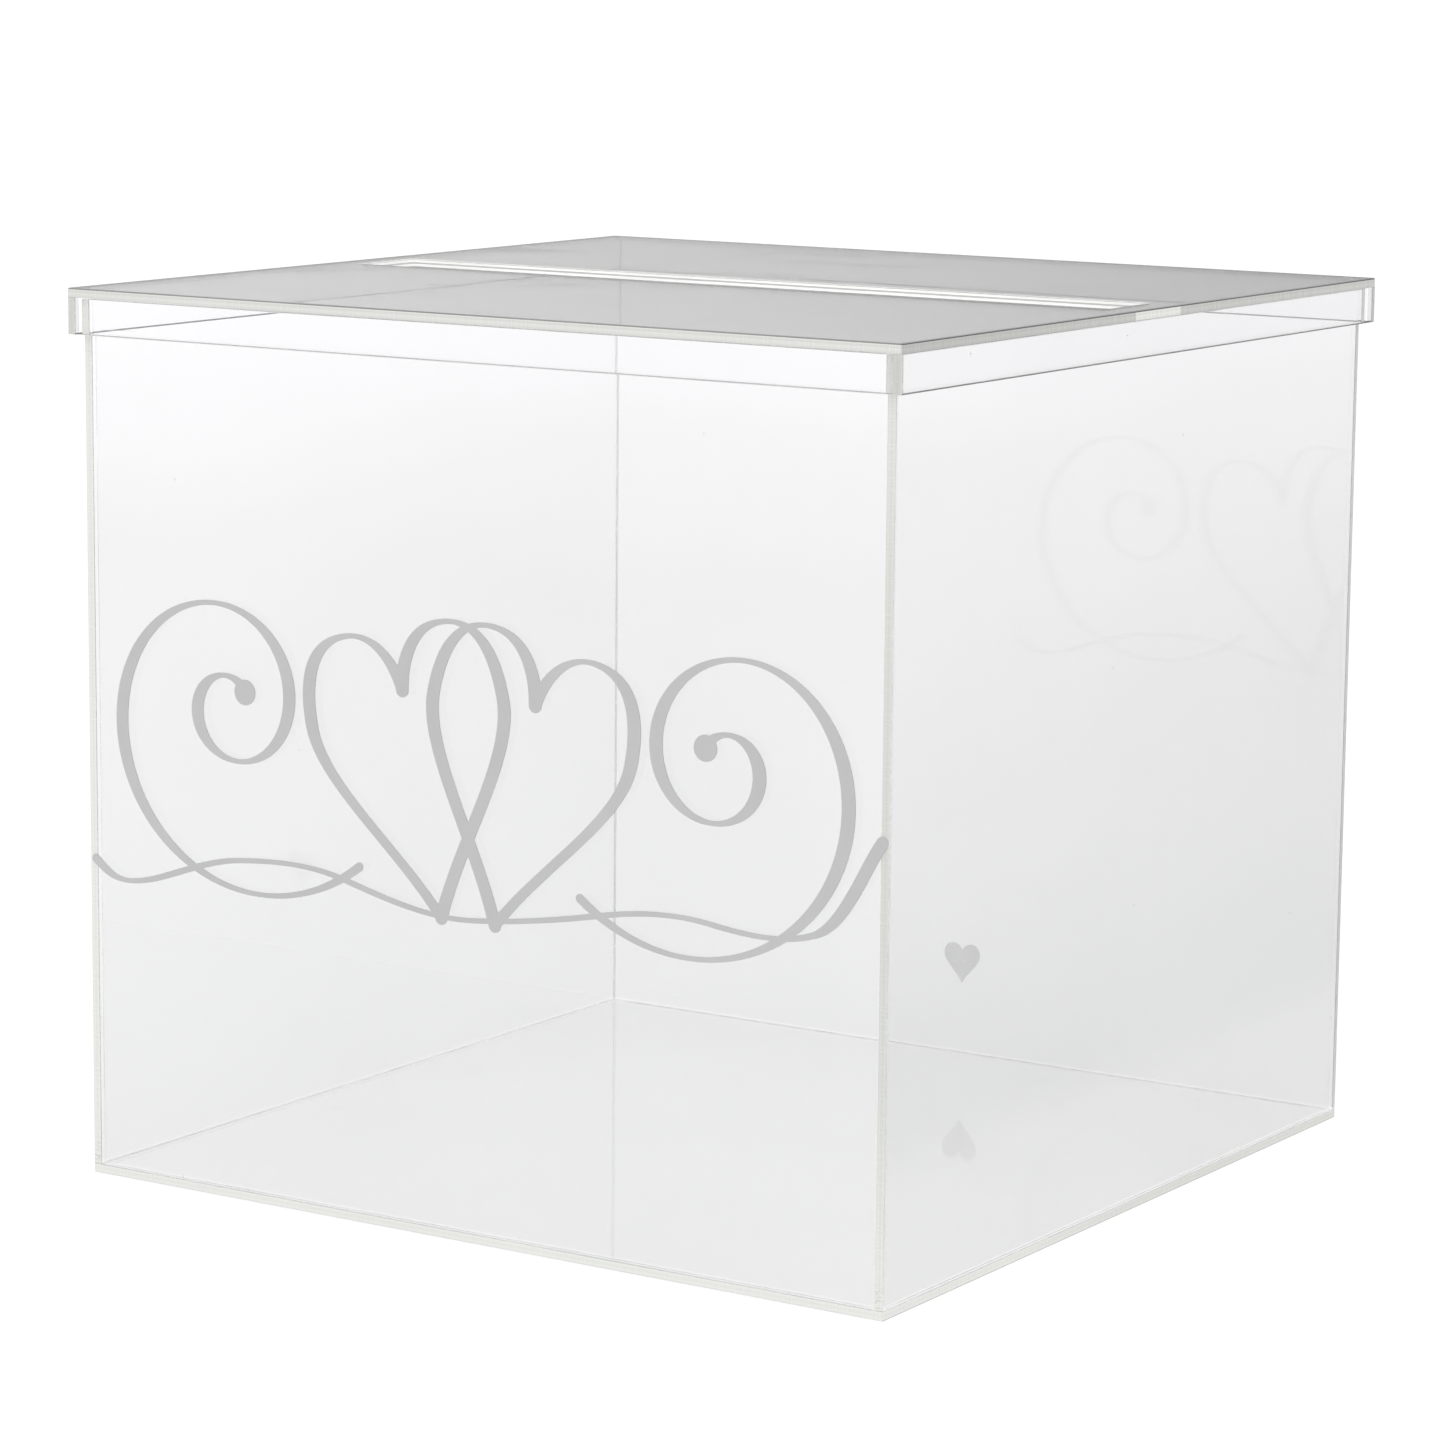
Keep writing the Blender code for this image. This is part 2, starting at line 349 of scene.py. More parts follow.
def wear_sheet(tree, shader, speck):
    """Smudges, scratches and specks in the roughness, and scratches over a faint wave in the bump."""
    smudge_noise = noise(tree, object_coords(tree), SMUDGE_SCALE, 4.0)
    smudge = map_range(tree, smudge_noise, 0.55, 0.8, 0.0, SMUDGE_ROUGHNESS)
    scratch = scratches(tree)
    worn = math_node(tree, "ADD", smudge, math_node(tree, "MULTIPLY", scratch, SCRATCH_ROUGHNESS))
    dusty = math_node(tree, "MULTIPLY", speck, SPECK_ROUGHNESS)
    tree.links.new(math_node(tree, "ADD", worn, dusty, clamp=True), shader.inputs["Roughness"])
    wave = bump(tree, noise(tree, object_coords(tree), WAVE_SCALE, 1.0), WAVE_HEIGHT)
    tree.links.new(bump(tree, scratch, SCRATCH_DEPTH, normal=wave), shader.inputs["Normal"])


# ---------------------------------------------------------------- cut edges

# Marks that solvent leaves, from the foot up to a height
CRAZE_TOP = 11 * MM
CRAZE_SCALE = 260.0
CRAZE_DISTORTION = 7.0
CRAZE_SHADE = 0.3
# Cutting marks: fine across the cut and long along it
CUT_MARK_FINENESS = 2600.0
CUT_MARK_RUN = 50.0
CUT_MARK_TONE = 0.985
CUT_ROUGHNESS = (0.22, 0.30)
PATCH_SCALE = 18.0
PATCH_TONE = 0.96
# A painted glint of the card slot's end
GLINT_TONE = 0.45
# Painted shade: the usual tone of an edge on the left and right sides
SIDE_TONE = 0.9
# Arrises: their grain, the tone of their dark grains, and how much light goes through
ARRIS_GRAIN_SCALE = 900.0
ARRIS_GRAIN_HEIGHT = 0.01 * MM
ARRIS_WEAR_SCALE = 30.0
ARRIS_DARK = 0.75
ARRIS_SEE_THROUGH = 0.15
ARRIS_ROUGHNESS = (0.3, 0.5)
# Glue joints and cement
BUBBLE_SCALE = 700.0
BUBBLE_TONE = 0.93
DRY_PATCH_SCALE = 40.0
DRY_PATCH_TONE = 0.9
DRY_PATCH_ROUGHNESS = 0.1
CEMENT_IOR = 1.08
CEMENT_BUBBLE_SCALE = 1400.0
CEMENT_PATCH_SCALE = 45.0
CEMENT_TONES = (0.97, 1.0)
CEMENT_ROUGHNESS = (0.02, 0.2)
CEMENT_BUMP = 0.03 * MM
# Film
FILM_IOR = 1.46
FILM_GRAIN_SCALE = 2600.0
FILM_GRAIN_HEIGHT = 0.006 * MM
FILM_CLOUD_SCALE = 60.0
FILM_TONES = (0.955, 1.03)
FILM_ROUGHNESS = (0.42, 0.56)


def tone_along(tree, axis, start, end, stops):
    """Tone against place along one axis of the object, which runs from 0 at start to 1 at end."""
    place = node(tree, "ShaderNodeSeparateXYZ", {"Vector": object_coords(tree)}).outputs[axis]
    return ramp(tree, map_range(tree, place, start, end, 0.0, 1.0), stops)


def crazing(tree):
    """Wavy marks that solvent leaves low on an upright edge: darker on a mark and 1 elsewhere."""
    vector = object_coords(tree)
    low = node(tree, "ShaderNodeSeparateXYZ", {"Vector": vector}).outputs["Z"]
    reach = map_range(tree, low, CRAZE_TOP, 0.4 * CRAZE_TOP, 0.0, 1.0)
    inputs = {"Vector": vector, "Scale": CRAZE_SCALE, "Distortion": CRAZE_DISTORTION}
    wave = node(tree, "ShaderNodeTexWave", inputs, bands_direction="Z")
    wave.inputs["Detail Scale"].default_value = 3.0
    marks = map_range(tree, wave.outputs["Fac"], 0.10, 0.35, CRAZE_SHADE, 0.0)
    return math_node(tree, "SUBTRACT", 1.0, math_node(tree, "MULTIPLY", marks, reach))


def slot_glint(tree):
    """The card slot's end, painted as a bright glint in the plate's side edges: 1 inside the patch."""
    place = node(tree, "ShaderNodeSeparateXYZ", {"Vector": object_coords(tree)}).outputs["Y"]
    return math_node(tree, "LESS_THAN", math_node(tree, "ABSOLUTE", place), GLINT_REACH)


def edge_streaks(tree, axis, lines, grain_tone, glint, side_tones, rise_tones):
    """The tone of a cut edge along its length: cutting marks, patches, and painted shade, light and
    glint.
    """
    patch_noise = noise(tree, object_coords(tree), PATCH_SCALE, 3.0)
    patches = map_range(tree, patch_noise, *NOISE_SPAN, PATCH_TONE, 1.0)
    streaks = math_node(tree, "MULTIPLY", map_range(tree, lines, 0.25, 0.75, grain_tone, 1.0), patches)
    # Painted shade on the left and right sides, from front to back
    aside = sideways(tree)
    depth_tone = tone_along(tree, 1, -HALF_DEPTH, HALF_DEPTH, side_tones)
    side_shade = math_node(tree, "MULTIPLY", aside, math_node(tree, "SUBTRACT", 1.0, depth_tone))
    streaks = math_node(tree, "MULTIPLY", streaks, math_node(tree, "SUBTRACT", 1.0, side_shade))
    # Painted light and shade up the height
    if rise_tones:
        streaks = math_node(tree, "MULTIPLY", streaks, tone_along(tree, 2, 0.0, HEIGHT, rise_tones))
    if axis == 0:
        streaks = math_node(tree, "MULTIPLY", streaks, crazing(tree))
    # A painted glint of the card slot's end in the plate's side edges
    if glint:
        patch = math_node(tree, "MULTIPLY", slot_glint(tree), aside)
        streaks = math_node(tree, "ADD", streaks, math_node(tree, "MULTIPLY", patch, GLINT_TONE))
    return streaks


def cut_edge(
    name,
    axis,
    stops,
    glow,
    inner,
    grain_axis=None,
    grain_tone=CUT_MARK_TONE,
    glint=False,
    side_tones=((0.0, SIDE_TONE), (1.0, SIDE_TONE)),
    rise_tones=None,
    inner_glow=1.0,
):
    """Laser-cut edge of a sheet whose thickness lies along axis. stops band it across the thickness.

    glow is a painted glow, in place of the light that the sheet gathers and gives off at its edge.
    inner is the edge's colour seen through the sheet: painted light where it is pale and painted shade
    where it is dark, and inner_glow the share of the glow there. side_tones paint shade on its left and
    right sides from front to back, rise_tones paint light and shade on it from the bottom up, and glint
    adds a painted glint.
    """
    material, tree, shader = new_material(name)
    coords = tree.nodes.new("ShaderNodeTexCoord")
    split = node(tree, "ShaderNodeSeparateXYZ", {"Vector": coords.outputs["Generated"]})
    bands = ramp(tree, split.outputs[axis], stops)
    scale = [CUT_MARK_FINENESS] * 3
    scale[axis if grain_axis is None else grain_axis] = CUT_MARK_RUN
    lines = noise(tree, object_coords(tree, scale), 1.0, 1.0)
    streaks = edge_streaks(tree, axis, lines, grain_tone, glint, side_tones, rise_tones)
    colour = from_inside(tree, multiply(tree, bands, grey(tree, streaks)), inner)
    tree.links.new(colour, shader.inputs["Base Color"])
    tree.links.new(map_range(tree, lines, *NOISE_SPAN, *CUT_ROUGHNESS), shader.inputs["Roughness"])
    shader.inputs["IOR"].default_value = ACRYLIC_IOR
    shader.inputs["Emission Color"].default_value = (*GLOW_COLOUR, 1)
    shader.inputs["Emission Strength"].default_value = glow
    if inner_glow != 1.0:
        glow_inside = tuple(inner_glow * value for value in GLOW_COLOUR)
        tree.links.new(from_inside(tree, GLOW_COLOUR, glow_inside), shader.inputs["Emission Color"])
    return material


def glue_joint(name, tone=1.0):
    """Where two sheets are cemented: light goes straight through, past a few bubbles."""
    material, tree, shader = new_material(name)
    bubbles = node(tree, "ShaderNodeTexVoronoi", {"Vector": object_coords(tree), "Scale": BUBBLE_SCALE})
    patches = noise(tree, object_coords(tree), DRY_PATCH_SCALE, 2.0)
    clear = map_range(tree, bubbles.outputs["Distance"], 0.12, 0.3, BUBBLE_TONE, 1.0)
    dry = map_range(tree, patches, 0.5, 0.6, 1.0, DRY_PATCH_TONE)
    clear = math_node(tree, "MULTIPLY", math_node(tree, "MAXIMUM", clear, dry), tone)
    tree.links.new(grey(tree, clear), shader.inputs["Base Color"])
    rough = map_range(tree, patches, 0.5, 0.7, 0.0, DRY_PATCH_ROUGHNESS)
    tree.links.new(rough, shader.inputs["Roughness"])
    shader.inputs["IOR"].default_value = 1.0
    shader.inputs["Transmission Weight"].default_value = 1.0
    return material


def ground_arris(name, tone, side_tone=1.0):
    """The broken corner of the sheet, ground and a little dirty in its grain, and toned so it draws a
    thin line of painted shade where the tone is dark.

    side_tone paints shade on it, darker along the left and right sides.
    """
    material, tree, shader = new_material(name)
    grain = noise(tree, object_coords(tree), ARRIS_GRAIN_SCALE, 3.0)
    wear = noise(tree, object_coords(tree), ARRIS_WEAR_SCALE, 3.0)
    mixed = math_node(tree, "MULTIPLY", grain, wear)
    darker = tuple(ARRIS_DARK * value for value in tone)
    side = map_range(tree, sideways(tree), 0.0, 0.9, 1.0, side_tone)
    colour = multiply(tree, ramp(tree, mixed, [(0.12, darker), (0.4, tone)]), grey(tree, side))
    tree.links.new(colour, shader.inputs["Base Color"])
    rough = map_range(tree, grain, *NOISE_SPAN, *ARRIS_ROUGHNESS)
    tree.links.new(rough, shader.inputs["Roughness"])
    tree.links.new(bump(tree, grain, ARRIS_GRAIN_HEIGHT), shader.inputs["Normal"])
    shader.inputs["IOR"].default_value = ACRYLIC_IOR
    shader.inputs["Transmission Weight"].default_value = ARRIS_SEE_THROUGH
    return material


def cement(name):
    """Dried solvent cement, clear but bubbly."""
    material, tree, shader = new_material(name)
    inputs = {"Vector": object_coords(tree), "Scale": CEMENT_BUBBLE_SCALE}
    bubbles = node(tree, "ShaderNodeTexVoronoi", inputs)
    patches = noise(tree, object_coords(tree), CEMENT_PATCH_SCALE, 3.0)
    bubbly = math_node(tree, "MULTIPLY", bubbles.outputs["Distance"], patches)
    tones = list(zip((0.1, 0.4), CEMENT_TONES))
    tree.links.new(ramp(tree, bubbly, tones), shader.inputs["Base Color"])
    tree.links.new(map_range(tree, patches, 0.4, 0.65, *CEMENT_ROUGHNESS), shader.inputs["Roughness"])
    tree.links.new(bump(tree, bubbly, CEMENT_BUMP), shader.inputs["Normal"])
    shader.inputs["IOR"].default_value = CEMENT_IOR
    shader.inputs["Transmission Weight"].default_value = 1.0
    return material


def cut_film(name, tone, see_through=0.0, glow=0.0):
    """Matte cut vinyl with a fine calendered grain. glow is a painted glow for light coming through it.
    """
    material, tree, shader = new_material(name)
    grain = noise(tree, object_coords(tree), FILM_GRAIN_SCALE, 2.0)
    cloud = noise(tree, object_coords(tree), FILM_CLOUD_SCALE, 3.0)
    mixed = math_node(tree, "ADD", math_node(tree, "MULTIPLY", grain, 0.5), cloud)
    low, high = (tuple(level * value for value in tone) for level in FILM_TONES)
    tree.links.new(ramp(tree, mixed, [(0.5, low), (0.95, high)]), shader.inputs["Base Color"])
    rough = map_range(tree, cloud, *NOISE_SPAN, *FILM_ROUGHNESS)
    tree.links.new(rough, shader.inputs["Roughness"])
    tree.links.new(bump(tree, grain, FILM_GRAIN_HEIGHT), shader.inputs["Normal"])
    shader.inputs["IOR"].default_value = FILM_IOR
    shader.inputs["Emission Color"].default_value = (1, 1, 1, 1)
    shader.inputs["Emission Strength"].default_value = glow
    shader.inputs["Transmission Weight"].default_value = see_through
    return material


# ---------------------------------------------------------------- colours

# Tints against height, as a share of the object's height, with painted shade in the walls' tints:
# the lower walls are darker, and the right wall is the darkest. A fade paints shade on a side wall,
# evenly darker towards the back. The left wall is painted lighter, and the right rim's tint is
# darkened as painted shade.
WALL_TINT_AND_PAINTED_SHADE = [
    (0.0, (0.894, 0.897, 0.895)),
    (0.25, (0.894, 0.897, 0.896)),
    (0.5, (0.903, 0.905, 0.904)),
    (0.7, (0.915, 0.916, 0.916)),
    (0.87, (0.955, 0.953, 0.958)),
    (1.0, (0.984, 0.981, 0.987)),
]
LEFT_PAINTED_LIGHT = 1.03
LEFT_FADE = 0.955
RIGHT_TINT_AND_PAINTED_SHADE = [
    (0.0, (0.842, 0.846, 0.844)),
    (0.12, (0.832, 0.836, 0.834)),
    (0.2, (0.784, 0.790, 0.788)),
    (0.5, (0.830, 0.832, 0.831)),
    (0.83, (0.897, 0.896, 0.901)),
    (1.0, (0.935, 0.932, 0.938)),
]
RIGHT_FADE = 0.955
RIM_TINT = [(0.0, (0.994, 0.992, 0.996)), (1.0, (0.998, 0.996, 0.999))]
RIGHT_RIM_SHADE = 0.96
FLAT_TINT = [(0.0, (0.990, 0.990, 0.991)), (1.0, (0.985, 0.984, 0.986))]

# Painted glow that the edges give off, in place of the light that the sheet carries to them.
# CORNER_GLOW is the share of it that the left wall's and the base's edges have where they are seen
# through the sheet, a painted light there.
EDGE_GLOW = 0.22
SLOT_GLOW = 0.3
CORNER_GLOW = 1.8
GLOW_COLOUR = (1.0, 1.0, 0.97)

# Bands across the thickness of an edge, and painted light and shade along its sides and up its height
EDGE_LIGHT = (0.595, 0.605, 0.57)
EDGE_DARK = (0.545, 0.555, 0.52)
EDGE_BANDS = [(0.0, EDGE_DARK), (0.25, EDGE_LIGHT), (0.55, EDGE_DARK), (0.8, EDGE_LIGHT)]
PLATE_BAND_TONES = [
    (0.0, 0.80),
    (0.15, 0.80),
    (0.30, 0.88),
    (0.45, 0.88),
    (0.60, 0.77),
    (0.70, 0.77),
    (0.85, 1.02),
]
# Painted shade on the left and right sides of the plate's and the base's edges
PLATE_SIDE_TONES = [(0.0, 0.47), (0.5, 0.56), (1.0, 0.58)]
BASE_SIDE_TONES = [(0.25, 0.92), (0.5, 0.78), (0.75, 0.74)]
# Painted light and shade up the side walls' edges, lighter at the very top
LEFT_RISE_TONES = [(0.945, 1.0), (0.955, 1.5)]
RIGHT_RISE_TONES = [(0.0, 1.0), (0.25, 0.80), (0.5, 0.78), (0.75, 0.81), (0.945, 0.94), (0.955, 1.2)]
# Painted shade on the rims' edges, darker on the right rim
RIM_SHADE = 0.72
RIGHT_RIM_EDGE_SHADE = 0.64
RIM_JOINT_TONE = 0.72

# Edges seen through the sheet: pale as painted light, grey and dark as painted shade
PALE_INNER = (0.97, 0.97, 0.96)
GREY_INNER = (0.62, 0.62, 0.61)
DARK_INNER = (0.04, 0.04, 0.04)

# Painted shade on two arris looks along the left and right sides
SIDE_ARRIS_TONE = 0.3
GREY_SIDE_ARRIS_TONE = 0.225

# Across the slot's edge, a dark line begins at this share of the plate's thickness
SLOT_LIP = 0.40
SLOT_LINE = (0.34, 0.34, 0.34)
SLOT_PALE = (1.0, 1.0, 0.99)
WHITE = (1.0, 1.0, 1.0)

# Film: a painted glow for the light that comes through the ornament's back, and how see-through the
# mark is
BACK_GLOW = 0.1
MARK_SEE_THROUGH = 0.85


def shaded(stops, shade):
    """The same stops, darker or lighter, for painted shade and painted light."""
    return [(at, tuple(min(1.0, shade * value) for value in colour)) for at, colour in stops]


# Copies of the clear sheet in painted light and shade: walls darker low, left lighter, right darker
WALL_CLEAR = clear_acrylic("wall_acrylic_painted_shade", WALL_TINT_AND_PAINTED_SHADE, clear_foot=True)
LEFT_TINT_AND_PAINTED_SHADE = shaded(WALL_TINT_AND_PAINTED_SHADE, LEFT_PAINTED_LIGHT)
LEFT_CLEAR = clear_acrylic("left_acrylic_painted_light_and_shade", LEFT_TINT_AND_PAINTED_SHADE, LEFT_FADE, clear_foot=True)
RIGHT_CLEAR = clear_acrylic("right_acrylic_painted_shade", RIGHT_TINT_AND_PAINTED_SHADE, RIGHT_FADE, clear_foot=True)
RIM_CLEAR = clear_acrylic("rim_clear_acrylic", RIM_TINT)
RIGHT_RIM_CLEAR = clear_acrylic("right_rim_acrylic_painted_shade", shaded(RIM_TINT, RIGHT_RIM_SHADE))
FLAT_CLEAR = clear_acrylic("flat_clear_acrylic", FLAT_TINT)
RIM_BANDS = shaded(EDGE_BANDS, RIM_SHADE)


def edge_set(name, bands, inner=PALE_INNER, **tones):
    """Edge looks for sheets that are thin in x, y and z."""
    names = [f"{name}_{letter}" for letter in "xyz"]
    return [cut_edge(names[axis], axis, bands, EDGE_GLOW, inner, **tones) for axis in range(3)]


# Edge looks, each with a painted glow, and with painted light and shade on the rims and the walls
CUT_EDGES = edge_set("cut_edge", EDGE_BANDS)
RIM_EDGES = edge_set("rim_edge", RIM_BANDS)
RIGHT_RIM_EDGES = edge_set("right_rim_edge", shaded(EDGE_BANDS, RIGHT_RIM_EDGE_SHADE), GREY_INNER)
LEFT_EDGES = edge_set("left_edge", EDGE_BANDS, rise_tones=LEFT_RISE_TONES, inner_glow=CORNER_GLOW)
RIGHT_EDGES = edge_set("right_edge", EDGE_BANDS, rise_tones=RIGHT_RISE_TONES)
BASE_EDGES = edge_set("base_edge", EDGE_BANDS, side_tones=BASE_SIDE_TONES, inner_glow=CORNER_GLOW)
PLATE_BANDS = [(at, tuple(tone * value for value in EDGE_LIGHT)) for at, tone in PLATE_BAND_TONES]
# The plate's edges: a painted glint, painted shade on the sides, painted dark seen through the plate
PLATE_LOOK = dict(glint=True, side_tones=PLATE_SIDE_TONES, inner_glow=0.0)
PLATE_EDGES = [None, None, cut_edge("plate_edge", 2, PLATE_BANDS, EDGE_GLOW, DARK_INNER, **PLATE_LOOK)]
SLOT_BANDS = [
    (0.0, WHITE),
    (SLOT_LIP, WHITE),
    (SLOT_LIP + 0.06, SLOT_LINE),
    (SLOT_LIP + 0.19, SLOT_LINE),
    (SLOT_LIP + 0.25, SLOT_PALE),
    (0.88, SLOT_PALE),
    (0.94, (0.6, 0.6, 0.6)),
]
# The slot's edge: a painted glow, and painted dark where it is seen through the plate
SLOT_GRAIN = dict(grain_axis=0, grain_tone=0.8, inner_glow=0.0)
SLOT_EDGE = cut_edge("slot_edge", 2, SLOT_BANDS, SLOT_GLOW, DARK_INNER, **SLOT_GRAIN)
GLUE_JOINT = glue_joint("glue_joint")
RIM_JOINT = glue_joint("rim_joint", RIM_JOINT_TONE)
PALE_ARRIS = ground_arris("pale_arris", (0.84, 0.84, 0.82))
# The grey, dark and near-black arrises draw lines of painted shade
GREY_ARRIS = ground_arris("grey_arris", (0.80, 0.80, 0.79), GREY_SIDE_ARRIS_TONE)
DARK_ARRIS = ground_arris("dark_arris", (0.30, 0.30, 0.294), SIDE_ARRIS_TONE)
RIM_LINE = ground_arris("rim_line", (0.10, 0.10, 0.098))
CEMENT = cement("solvent_cement")
ORNAMENT_FILM = cut_film("ornament_film_grey", (0.515, 0.515, 0.52))
ORNAMENT_BACK = cut_film("ornament_film_back", (0.94, 0.94, 0.94), glow=BACK_GLOW)
# Painted light: the mark's grey film is made near white, lifting the shade behind the back panel
MARK_FILM = cut_film("mark_film_grey", (0.95, 0.95, 0.95), MARK_SEE_THROUGH)


# ---------------------------------------------------------------- sheets


def link(obj):
    bpy.context.scene.collection.objects.link(obj)
    return obj


def object_from_bmesh(name, bm):
    mesh = bpy.data.meshes.new(name)
    bm.to_mesh(mesh)
    bm.free()
    return link(bpy.data.objects.new(name, mesh))


def box_object(name, low, high):
    bm = bmesh.new()
    bmesh.ops.create_cube(bm, size=1.0)
    bmesh.ops.scale(bm, vec=high - low, verts=bm.verts)
    bmesh.ops.translate(bm, vec=(low + high) / 2, verts=bm.verts)
    return object_from_bmesh(name, bm)


def evaluated_mesh(obj):
    """A new mesh of the object as its modifiers leave it."""
    graph = bpy.context.evaluated_depsgraph_get()
    return bpy.data.meshes.new_from_object(obj.evaluated_get(graph))


def apply_modifiers(obj):
    mesh = evaluated_mesh(obj)
    obj.modifiers.clear()
    obj.data = mesh


def glued_faces(faces, low, high, grow_low, grow_high):
    """The faces that are cemented to another sheet: the ones on the sides that grow."""
    found = []
    for face in faces:
        centre = face.calc_center_median()
        for axis in range(3):
            at_low = grow_low[axis] and abs(centre[axis] - low[axis]) < TOUCHING
            at_high = grow_high[axis] and abs(centre[axis] - high[axis]) < TOUCHING
            if at_low or at_high:
                found.append(face)
    return found


def slot_box():
    """The corners of the block that the card slot takes out of the plate."""
    opening = next(o for o in frame["record"]["physics"]["openings"] if o["name"] == "card_slot")
    low, high = (Vector(corner) for corner in opening["box_m"])
    return low - SLOT_MARGIN, high + SLOT_MARGIN


def inside_slot(point):
    """Whether a point of the plate is inside the slot's outline or within 1 mm of it."""
    corner = slot_box()[1] + Vector((MM, MM, 0))
    return abs(point.x) < corner.x and abs(point.y) < corner.y


def paint_faces(bm, thin_axis, slotted, line_side):
    """Numbers the faces as if none were glued. The slot's arrises that catch the light draw no line of
    painted shade.
    """
    for face in bm.faces:
        lean = abs(face.normal[thin_axis])
        in_slot = slotted and inside_slot(face.calc_center_median())
        lit = in_slot and (face.normal.y < -LIT_LEAN or face.normal.x > LIT_LEAN)
        if lean > BROAD_LEAN:
            face.material_index = BROAD
        elif lean < EDGE_LEAN:
            face.material_index = LAST if in_slot else EDGE
        else:
            draws_line = face.normal.z * line_side > LINE_LEAN and not lit
            face.material_index = LINE if draws_line else ARRIS


def on_lower_outline(edge, low, high):
    """Whether an edge runs round the sheet's lower outline, where the rim carries on from it."""
    middle = (edge.verts[0].co + edge.verts[1].co) / 2
    at_side = any(min(middle[k] - low[k], high[k] - middle[k]) < TOUCHING for k in (0, 1))
    return at_side and middle.z - low.z < TOUCHING


def break_arrises(bm, low, high, glued, width, slotted):
    """Bevels the sheet's sharp edges, apart from those of its glued faces."""
    sharp = [e for e in bm.edges if e.calc_face_angle() > SHARP]
    free = [e for e in sharp if not any(face in glued for face in e.link_faces)]
    if slotted:
        free = [e for e in free if not on_lower_outline(e, low, high)]
    bmesh.ops.bevel(bm, geom=free, offset=width, segments=ARRIS_SEGMENTS, affect="EDGES", profile=0.5)
    bm.normal_update()


def make_sheet(
    name,
    body,
    clear,
    edges,
    arris_width,
    line,
    line_side,
    grow_low=(0, 0, 0),
    grow_high=(0, 0, 0),
    last=GLUE_JOINT,
):
    """A piece of clear sheet in place of a CAD node, with broken arrises and closed glue joints.

    grow_low and grow_high say on which sides the sheet is glued, so the CAD's gap closes there. line
    is the arris that draws a line of painted shade, on the upper side if line_side is 1 and on the
    lower if it is -1.
    last is the look of the slot's edge or the glued ends.
    """
    low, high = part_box(name)
    low = low - Vector(grow_low) * (GLUE - SEAM)
    high = high + Vector(grow_high) * (GLUE - SEAM)
    sheet = box_object(name + "_sheet", low, high)
    thin_axis = min(range(3), key=lambda axis: (high - low)[axis])
    slotted = name == "lid_plate"
    if slotted:
        cut_slot(sheet)
    sheet.data.materials.clear()
    for material in (clear, edges[thin_axis], PALE_ARRIS, line, GLUE_JOINT, last):
        sheet.data.materials.append(material)
    bm = bmesh.new()
    bm.from_mesh(sheet.data)
    glued = glued_faces(bm.faces, low, high, grow_low, grow_high)
    break_arrises(bm, low, high, glued, arris_width, slotted)
    paint_faces(bm, thin_axis, slotted, line_side)
    for face in glued_faces(bm.faces, low, high, grow_low, grow_high):
        face.material_index = LAST if abs(face.normal.x) > 0.5 else GLUED
    bm.to_mesh(sheet.data)
    bm.free()
    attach(sheet, body)
    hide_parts(name)


def make_box():
    """The five panels. The side walls run the full depth, with the front and the back between them."""
    # The lower arrises draw a grey line of painted shade
    look = (BOX_ARRIS_WIDTH, GREY_ARRIS, -1)
    make_sheet("base_panel", "box", FLAT_CLEAR, BASE_EDGES, *look)
    make_sheet("left_panel", "box", LEFT_CLEAR, LEFT_EDGES, *look, grow_low=(0, 0, 1))
    make_sheet("right_panel", "box", RIGHT_CLEAR, RIGHT_EDGES, *look, grow_low=(0, 0, 1))
    for name in ("front_panel", "back_panel"):
        make_sheet(name, "box", WALL_CLEAR, CUT_EDGES, *look, grow_low=(1, 0, 1), grow_high=(1, 0, 0))


def cut_slot(sheet):
    """The card slot, with small round corners."""
    cutter = box_object("slot_cutter", *slot_box())
    bm = bmesh.new()
    bm.from_mesh(cutter.data)
    upright = [e for e in bm.edges if abs(e.verts[0].co.z - e.verts[1].co.z) > 2 * MM]
    bevel = dict(offset=SLOT_CORNER, segments=SLOT_CORNER_SEGMENTS, affect="EDGES", profile=0.5)
    bmesh.ops.bevel(bm, geom=upright, **bevel)
    bm.to_mesh(cutter.data)
    bm.free()
    cut = sheet.modifiers.new("card_slot", "BOOLEAN")
    cut.operation = "DIFFERENCE"
    cut.object = cutter
    apply_modifiers(sheet)
    bpy.data.objects.remove(cutter)


def make_lid():
    """The plate and its rim. The lower arrises of the two far rims draw dark lines of painted shade."""
    # The plate's upper arrises draw a dark line of painted shade
    plate_look = (PLATE_EDGES, LID_ARRIS_WIDTH, DARK_ARRIS, 1)
    make_sheet("lid_plate", "lid", FLAT_CLEAR, *plate_look, last=SLOT_EDGE)
    # The near rims' lower arrises draw a grey line of painted shade
    near = (BOX_ARRIS_WIDTH, GREY_ARRIS, -1)
    far = (FAR_RIM_ARRIS_WIDTH, RIM_LINE, -1)
    make_sheet("lid_rim_left", "lid", RIM_CLEAR, RIM_EDGES, *far, grow_high=(0, 0, 1))
    make_sheet("lid_rim_right", "lid", RIGHT_RIM_CLEAR, RIGHT_RIM_EDGES, *near, grow_high=(0, 0, 1))
    for name, look in (("lid_rim_front", near), ("lid_rim_back", far)):
        glued = dict(grow_low=(1, 0, 0), grow_high=(1, 0, 1), last=RIM_JOINT)
        make_sheet(name, "lid", RIM_CLEAR, RIM_EDGES, *look, **glued)


# ---------------------------------------------------------------- cement


